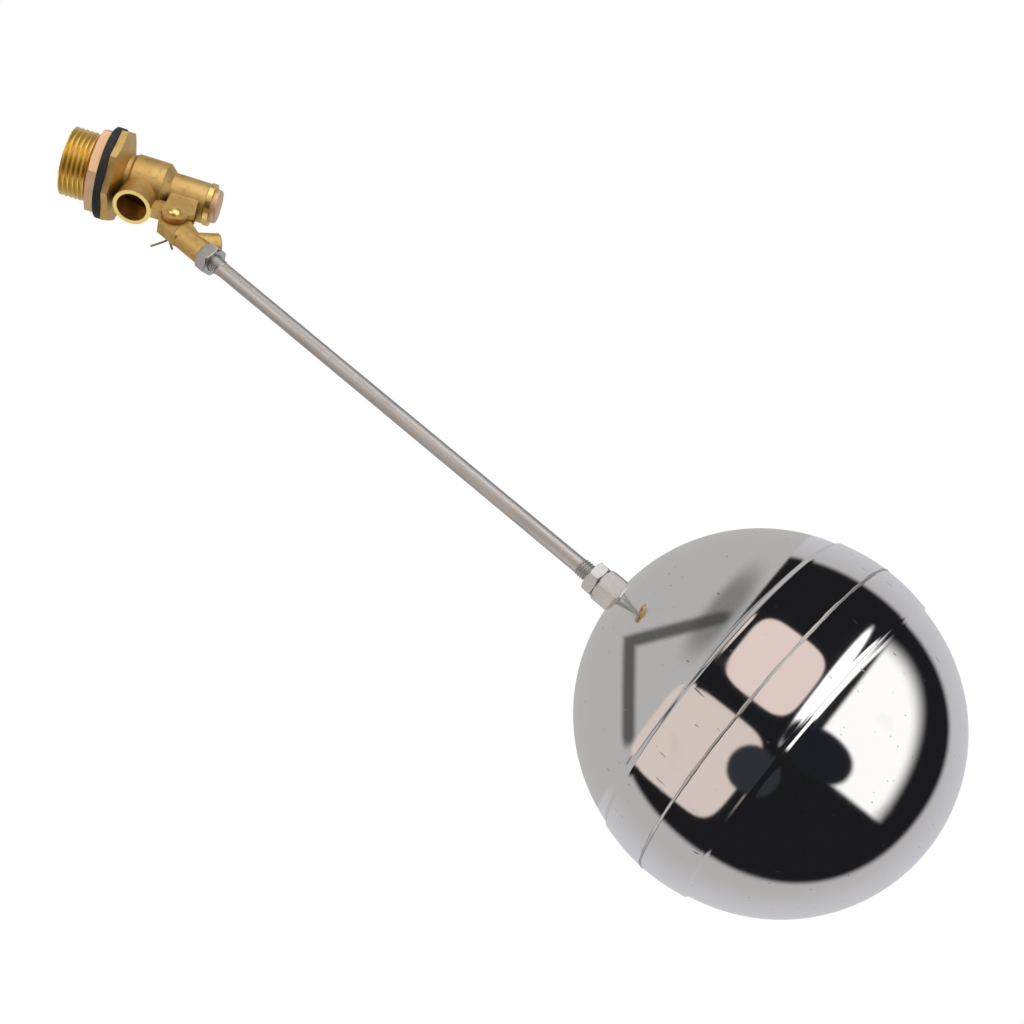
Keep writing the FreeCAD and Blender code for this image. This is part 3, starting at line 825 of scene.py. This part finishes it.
@dataclass
class RodAndNuts:
    """The threaded float rod with the lock nut at each end."""

    arm: ArmLine
    radius: float = 3.53
    crest: float = 3.95
    depth: float = 0.6
    pitch: float = 1.25
    start: float = 11.8
    lever_thread_end: float = 38.6
    float_thread_start: float = 262.2
    end: float = 281.0
    nuts: tuple = (("socket_lock_nut", "lever_lock_nut", 27.22, 6.4, 8.0),
                   ("ball_lock_nut", "float_lock_nut", 268.3, 5.5, 18.0))
    nut_flats: float = 13.0
    bore: float = 4.0

    def rod(self) -> bpy.types.Object:
        """Build the rod with a real helix at each end.

        The radius is crest minus depth times a rounded triangle of the phase, and the phase is the
        distance along over the pitch minus the angle over a full turn; it fades into the plain rod.

        Returns:
            The new piece.
        """
        turn = np.linspace(0.0, 2.0 * np.pi, 48, endpoint=False)
        fine = self.pitch / 14.0
        first = np.arange(self.start, self.lever_thread_end + 1.5, fine)
        last = np.arange(self.float_thread_start - 1.5, self.end, fine)
        plain = np.linspace(first[-1] + 1.0, last[0] - 1.0, 40)
        along = np.concatenate([first, plain, last])
        phase = along[:, None] / self.pitch - turn[None, :] / (2.0 * np.pi)
        wave = np.abs(np.mod(phase, 1.0) * 2.0 - 1.0)
        groove = smooth(wave, 0.12, 0.88)
        thread = self.crest - self.depth * groove
        lever_share = 1.0 - smooth(along, self.lever_thread_end - 0.8, self.lever_thread_end + 0.8)
        float_share = smooth(along, self.float_thread_start - 0.8, self.float_thread_start + 0.8)
        share = np.maximum(lever_share, float_share)[:, None]
        radius = self.radius * (1.0 - share) + thread * share
        ends = np.minimum(along - along[0], along[-1] - along)
        radius = np.minimum(radius, self.crest - 0.7 + ends[:, None])
        radius = np.vstack([np.zeros((1, len(turn))), radius, np.zeros((1, len(turn)))])
        reach = np.concatenate([along[:1], along, along[-1:]])
        grid = around(reach[:, None], radius, turn)
        return grid_mesh("threaded_rod", self.arm.to_row(grid), False, True, 50.0)

    def nut(self, name: str, start: float, depth: float, spin: float) -> bpy.types.Object:
        """Build a hexagon nut with rounded corners and a countersunk hole.

        The outside radius is the smaller of the hexagon's outline and a cone rising from each face.

        Args:
            name: the piece's name.
            start: distance of its first face from the pivot.
            depth: its thickness.
            spin: angle of a flat about the rod, in degrees.

        Returns:
            The new piece.
        """
        turn = np.linspace(0.0, 2.0 * np.pi, 216, endpoint=False)
        flats = hexagon_radius(turn, self.nut_flats, spin)
        lift = np.array([0.0, 0.12, 0.3, 0.55, 0.9, 1.3])
        side = np.concatenate([lift, [depth / 2.0], depth - lift[::-1]])
        from_face = np.minimum(side, depth - side)
        cone = self.nut_flats / 2.0 - 0.25 + from_face[:, None] * 1.75
        outer = np.minimum(np.repeat(flats[None, :], len(side), axis=0), cone)
        inner_at = np.array([depth, depth - 0.4, depth / 2.0, 0.4, 0.0])
        inner = np.repeat((self.bore + np.array([0.4, 0.0, 0.0, 0.0, 0.4]))[:, None], len(turn), axis=1)
        along = start + np.concatenate([side, inner_at])
        radius = np.vstack([outer, inner])
        grid = around(along[:, None], radius, turn)
        return grid_mesh(name, self.arm.to_row(grid[::-1]), True, True, 28.0)

    def build(self, satin: bpy.types.Material, bright: bpy.types.Material) -> None:
        """Build the rod and both nuts and dress them.

        Args:
            satin: finish of the rod.
            bright: finish of the nuts.
        """
        rod = self.rod()
        dress(rod, satin)
        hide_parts("float_rod")
        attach(rod, "float_arm")
        LOG.info("%s stands for float_rod", rod.name)
        for name, node, start, depth, spin in self.nuts:
            nut = self.nut(name, start, depth, spin)
            dress(nut, bright)
            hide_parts(node)
            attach(nut, "float_arm")
            LOG.info("%s stands for %s", name, node)


@dataclass
class PivotParts:
    """The pivot pin with its domed head and the split cotter through its far end."""

    pivot: tuple
    ear_outer: float = 5.7
    pin_radius: float = 2.0
    head_radius: float = 3.4
    head_height: float = 1.9
    pin_end: float = 9.2
    cotter_station: float = 7.4
    wire: float = 0.8
    tip: float = 0.02

    def pin(self) -> bpy.types.Object:
        """Build the pin: a shank with a head whose profile is a quarter of a flattened ellipse.

        Returns:
            The new piece.
        """
        angle = np.linspace(0.0, np.pi / 2.0, 24)
        dome = np.column_stack([-self.ear_outer - 0.35 - (self.head_height - 0.35) * np.cos(angle),
                                self.head_radius * np.sin(angle)])
        under_head = -self.ear_outer - 0.02
        shank = np.array([[under_head, self.head_radius], [under_head, self.pin_radius],
                          [self.pin_end - 0.4, self.pin_radius], [self.pin_end, self.pin_radius - 0.4],
                          [self.pin_end, 0.0]])
        grid = spun(np.vstack([dome, shank]), 96)
        grid = np.stack([-grid[..., 1], grid[..., 0], grid[..., 2]], axis=-1)
        return grid_mesh("domed_pin", grid * MM + np.asarray(self.pivot), False, True, 40.0)

    def leg(self, name: str, way: int, corners: np.ndarray) -> bpy.types.Object:
        """Build one half of the cotter: half of the eye, the straight run and the bent leg.

        The path is the eye's half circle followed by a curve of four control points weighted by the
        cubic Bernstein polynomials. The wire narrows to its tip radius at both ends.

        Args:
            name: the piece's name.
            way: 1 or -1, the side of the eye that this half takes.
            corners: the bent leg's control points, in millimetres from the pin's axis.

        Returns:
            The new piece.
        """
        eye = np.linspace(np.pi * 0.98, np.pi * 0.06, 24)
        eye_radius = self.wire * 1.6
        centre_z = 2.6 + self.wire * 2.1
        ring = np.column_stack([way * eye_radius * np.sin(eye), np.zeros_like(eye),
                                centre_z - eye_radius * np.cos(eye)])
        half = self.wire * 0.46
        straight = np.column_stack([np.full(8, way * half), np.zeros(8), np.linspace(2.9, -2.4, 8)])
        share = np.linspace(0.0, 1.0, 28)[:, None]
        weights = [(1 - share) ** 3, 3 * share * (1 - share) ** 2, 3 * share ** 2 * (1 - share), share ** 3]
        bent = sum(weight * corner for weight, corner in zip(weights, corners))
        path = np.vstack([ring, straight, bent[1:]])
        path[:, 1] += self.cotter_station
        radius = np.full(len(path), self.wire * 0.72)
        radius[0] = radius[-1] = self.tip
        grid = wire_tube(path, radius, 0.75)
        return grid_mesh(name, grid * MM + np.asarray(self.pivot), False, True, 60.0)

    def build(self, brass: bpy.types.Material, steel: bpy.types.Material) -> None:
        """Build the pin and the cotter and dress them.

        Args:
            brass: finish of the pin.
            steel: finish of the wire.
        """
        pin = self.pin()
        dress(pin, brass)
        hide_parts("pivot_pin")
        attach(pin, "valve")
        long_leg = np.array([[0.37, 0.0, -2.4], [0.1, 0.3, -4.8], [-3.4, 2.0, -6.2], [-7.4, 4.0, -8.6]])
        short_leg = np.array([[-0.37, 0.0, -2.4], [0.2, 0.2, -4.4], [1.6, 1.2, -6.0], [3.2, 2.2, -8.4]])
        for name, way, corners in (("cotter_long_leg", 1, long_leg), ("cotter_short_leg", -1, short_leg)):
            leg = self.leg(name, way, corners)
            dress(leg, steel)
            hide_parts("cotter_pin")
            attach(leg, "valve")
        LOG.info("pin and cotter built")


@dataclass
class BrassBodies:
    """The brass and rubber pieces whose shapes come straight from the solid model."""

    nodes: dict[str, bpy.types.Object]
    finishes: dict[str, bpy.types.Material]

    def build(self) -> None:
        """Dress each node with its finish."""
        for node, material in self.finishes.items():
            dress(self.nodes[node], material)
            LOG.info("%s dressed in %s", node, material.name)


# ------------------------------------------------------------------ studio
@dataclass(frozen=True)
class Panel:
    """A rounded panel of the surroundings, given by where a polished ball shows it.

    along and across are measured on the ball's disc as the viewer sees it, in ball radii, along the
    rod and square to it.
    """

    along: float
    across: float
    half_along: float
    half_across: float
    colour: tuple
    corner: float = 5.0
    edge: float = 0.06
    quarter: bool = False


@dataclass
class Studio:
    """Floor, surroundings, lights and the camera."""

    camera_at: tuple = (0.1776, -0.4159, -0.6152)
    looks_along: tuple = (0.1023, 0.6640, 0.7407)
    camera_right: tuple = (0.9532, -0.2784, 0.1179)
    lens: float = 52.23
    ball_at: tuple = (0.3555, 0.0, -0.2258)
    rod_slope: float = 38.9
    light: tuple = (0.60, 0.60, 0.64)
    pale: tuple = (0.50, 0.49, 0.485)
    panels: tuple = (
        Panel(0.04, -0.06, 0.80, 0.78, (0.012, 0.012, 0.014), corner=2.15, edge=0.02),
        Panel(-0.85, 0.0, 0.470, 2.0, (0.50, 0.49, 0.48), corner=12.0, edge=0.012),
        Panel(-0.47, -0.30, 0.07, 0.26, (0.24, 0.235, 0.23), corner=2.5, edge=0.5),
        Panel(-0.125, -0.235, 0.205, 0.198, (0.84, 0.70, 0.64), corner=4.0, edge=0.03),
        Panel(-0.165, 0.335, 0.255, 0.262, (0.74, 0.64, 0.58), corner=5.0, edge=0.03),
        Panel(0.125, -0.32, 0.030, 0.36, (1.4, 1.4, 1.4), corner=2.2, edge=0.1),
        Panel(0.20, 0.045, 0.48, 0.72, (1.15, 1.15, 1.13), corner=2.1, edge=0.09, quarter=True),
        Panel(0.27, -0.03, 0.175, 0.120, (0.014, 0.015, 0.02), corner=2.2, edge=0.10),
        Panel(0.085, 0.235, 0.115, 0.12, (0.030, 0.034, 0.04), corner=2.0, edge=0.10),
    )
    lamps: tuple = (
        ("key", (0.1, -1.0, 0.35), 0.7, 2.0),
        ("side", (-0.8, -0.7, -0.3), 0.5, 0.9),
        ("under", (-0.16, 0.56, -0.81), 0.5, 0.8),
        ("front", (0.35, -0.75, -0.55), 0.35, 0.3),
    )
    lamps_face: tuple = (0.05, 0.0, -0.01)
    lamp_distance: float = 0.8
    floor_depth: float = 0.95
    floor_half: float = 6.0

    def ball_view(self) -> tuple[Vector, Vector, Vector]:
        """The line from the ball to the viewer, and the viewer's right and down square to it.

        Returns:
            Three unit vectors in the row frame.
        """
        toward = (Vector(self.camera_at) - Vector(self.ball_at)).normalized()
        right = Vector(self.camera_right)
        right = (right - toward * right.dot(toward)).normalized()
        return toward, right, toward.cross(right) * -1.0

    @staticmethod
    def dot(sheet: ShaderSheet, first: Wire, second: Vector) -> Wire:
        """Dot product of a direction with a fixed vector.

        Args:
            sheet: the node sheet.
            first: the direction.
            second: the fixed vector.

        Returns:
            The product.
        """
        return sheet.add("ShaderNodeVectorMath", {"operation": "DOT_PRODUCT"},
                         {0: first, 1: tuple(second)}, output="Value")

    def shape(self, along: Wire, across: Wire, panel: Panel) -> Wire:
        """Mask of one panel: a superellipse of the two distances, with a soft edge.

        A quarter panel keeps only the part further along and less far across than its middle.

        Args:
            along: place on the ball's disc along the rod.
            across: place square to it.
            panel: the panel.

        Returns:
            1 inside, 0 outside.
        """
        first = abs(along - panel.along) / panel.half_along
        second = abs(across - panel.across) / panel.half_across
        spread = (first ** panel.corner + second ** panel.corner) ** (1.0 / panel.corner)
        inside = spread.step(1.0 + panel.edge, 1.0 - panel.edge)
        if panel.quarter:
            inside = inside * (along - panel.along).step(-0.01, 0.015)
            inside = inside * (across - panel.across).step(0.02, -0.01)
        return inside

    def chevron(self, along: Wire, across: Wire) -> Wire:
        """The dark frame of a reflector: two strokes that meet in a point.

        Args:
            along: place on the ball's disc along the rod.
            across: place square to it.

        Returns:
            1 on the strokes, 0 elsewhere.
        """
        bend = abs(across - 0.12)
        line = along + 0.755 - bend * 0.78
        fade = bend.step(0.47, 0.40) * along.step(-0.40, -0.44)
        return abs(line).step(0.065, 0.02) * fade

    def surroundings(self) -> None:
        """Build the world: white to the camera, a lit studio over a pale table to everything else.

        The half-way vector between a ray and the viewer is the ball's own normal there, so its two
        parts square to the line of sight are the place on the ball's disc.
        """
        world = bpy.data.worlds.new("studio")
        world.use_nodes = True
        bpy.context.scene.world = world
        sheet = ShaderSheet(world.node_tree)
        ray = sheet.add("ShaderNodeTexCoord", output="Generated")
        viewer, right, down = self.ball_view()
        half = sheet.add("ShaderNodeVectorMath", {"operation": "ADD"}, {0: ray, 1: tuple(viewer)},
                         output="Vector")
        half = sheet.add("ShaderNodeVectorMath", {"operation": "NORMALIZE"}, {0: half}, output="Vector")
        slope = math.radians(self.rod_slope)
        along = self.dot(sheet, half, right * math.cos(slope) + down * math.sin(slope))
        across = self.dot(sheet, half, down * math.cos(slope) - right * math.sin(slope))
        rim = (along * along + across * across) ** 0.5
        colour = sheet.blend(rim.step(0.80, 0.99), self.pale, self.light)
        for panel in self.panels:
            colour = sheet.blend(self.shape(along, across, panel), colour, panel.colour)
        colour = sheet.blend(self.chevron(along, across) * 0.9, colour, (0.07, 0.07, 0.07))
        seen = sheet.add("ShaderNodeLightPath", output="Is Camera Ray")
        colour = sheet.blend(seen, colour, (1.0, 1.0, 1.0))
        light = sheet.add("ShaderNodeBackground", inputs={"Color": colour, "Strength": 1.0})
        sheet.add("ShaderNodeOutputWorld", inputs={"Surface": light})

    def floor(self) -> None:
        """Lay a plain pale floor far under the object, seen by the camera only."""
        mesh = bpy.data.meshes.new("floor")
        size, z = self.floor_half, -self.floor_depth
        corners = [(-size, -size, z), (size, -size, z), (size, size, z), (-size, size, z)]
        mesh.from_pydata(corners, [], [(0, 1, 2, 3)])
        floor = bpy.data.objects.new("floor", mesh)
        bpy.context.scene.collection.objects.link(floor)
        material, sheet = new_material("pale_floor")
        grain = sheet.noise(sheet.place(), 3.0, 2.0)
        sheet.surface(Base_Color=sheet.blend(grain, (0.84, 0.84, 0.84), (0.88, 0.88, 0.88)), Roughness=0.9,
                      Emission_Color=(1.0, 1.0, 1.0, 1.0), Emission_Strength=0.42)
        floor.data.materials.append(material)
        floor.visible_glossy = False
        floor.visible_diffuse = False

    def lamp(self, name: str, at: Vector, toward: Vector, size: float, watts: float) -> None:
        """Hang one soft area light for the valve and the rod; the ball's mirror doesn't show it.

        Args:
            name: the light's name.
            at: its place.
            toward: the point it faces.
            size: width of the square in metres.
            watts: its power.
        """
        data = bpy.data.lights.new(name, "AREA")
        data.size = size
        data.energy = watts
        lamp = bpy.data.objects.new(name, data)
        lamp.visible_camera = False
        lamp.location = at
        lamp.rotation_euler = (toward - at).to_track_quat("-Z", "Y").to_euler()
        bpy.context.scene.collection.objects.link(lamp)
        lamp.light_linking.receiver_collection = self.lit_by_lamps()

    def lit_by_lamps(self) -> bpy.types.Collection:
        """The collection of everything but the ball's halves, made at the first call."""
        group = bpy.data.collections.get("lit_by_lamps")
        if group is None:
            group = bpy.data.collections.new("lit_by_lamps")
            for piece in bpy.context.scene.objects:
                if piece.type == "MESH" and "shell" not in piece.name and "half" not in piece.name:
                    group.objects.link(piece)
        return group

    def camera(self) -> None:
        """Set the camera at the viewing angle: right and up square to the line of sight."""
        data = bpy.data.cameras.new("camera")
        data.lens = self.lens
        data.sensor_width = 36.0
        data.clip_start = 0.01
        camera = bpy.data.objects.new("camera", data)
        back = -Vector(self.looks_along).normalized()
        right = Vector(self.camera_right)
        right = (right - back * right.dot(back)).normalized()
        up = back.cross(right)
        turn = Matrix((right, up, back)).transposed().to_4x4()
        camera.matrix_world = Matrix.Translation(Vector(self.camera_at)) @ turn
        bpy.context.scene.collection.objects.link(camera)
        bpy.context.scene.camera = camera
        bpy.context.scene.view_settings.view_transform = "Standard"

    def build(self) -> None:
        """Build the whole studio."""
        self.camera()
        self.surroundings()
        self.floor()
        valve = Vector(self.lamps_face)
        for name, way, size, watts in self.lamps:
            at = valve + Vector(way).normalized() * self.lamp_distance
            self.lamp(name, at, valve, size, watts)
        LOG.info("studio built")


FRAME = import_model()


def main() -> None:
    """Build the valve, its arm and ball, and the studio, in that order."""
    logging.basicConfig(level=logging.INFO, format="%(message)s")
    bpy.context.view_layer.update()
    pivot = next(joint["pos_m"] for joint in FRAME["joints"] if joint["name"] == "lever_pivot")
    arm = ArmLine(pivot=tuple(pivot))
    turned = TurnedBrass().make()
    sawn = SawnBrass().make()
    rubber = Rubber().make()
    satin = DrawnSteel().make()
    bright = BrightSteel().make()
    wire = DrawnSteel(name="steel_wire", tone=(0.42, 0.34, 0.20), dark=(0.24, 0.19, 0.12), rough=0.34,
                      angle=90.0).make()
    finishes = {"valve_body": CastBrass(name="cast_brass_valve", machined=True).make(),
                "lever": CastBrass(name="cast_brass_lever").make(),
                "lock_nut": sawn, "piston": sawn, "inlet_gasket": rubber, "seat_washer": rubber,
                "seat_ring": turned, "washer_cap": turned}
    BrassBodies(FRAME["nodes"], finishes).build()
    PivotParts(pivot=tuple(pivot)).build(turned, wire)
    RodAndNuts(arm=arm).build(satin, bright)
    FloatBall(arm=arm).build(MirrorSteel().make(), satin)
    Studio().build()


if __name__ == "__main__":
    main()
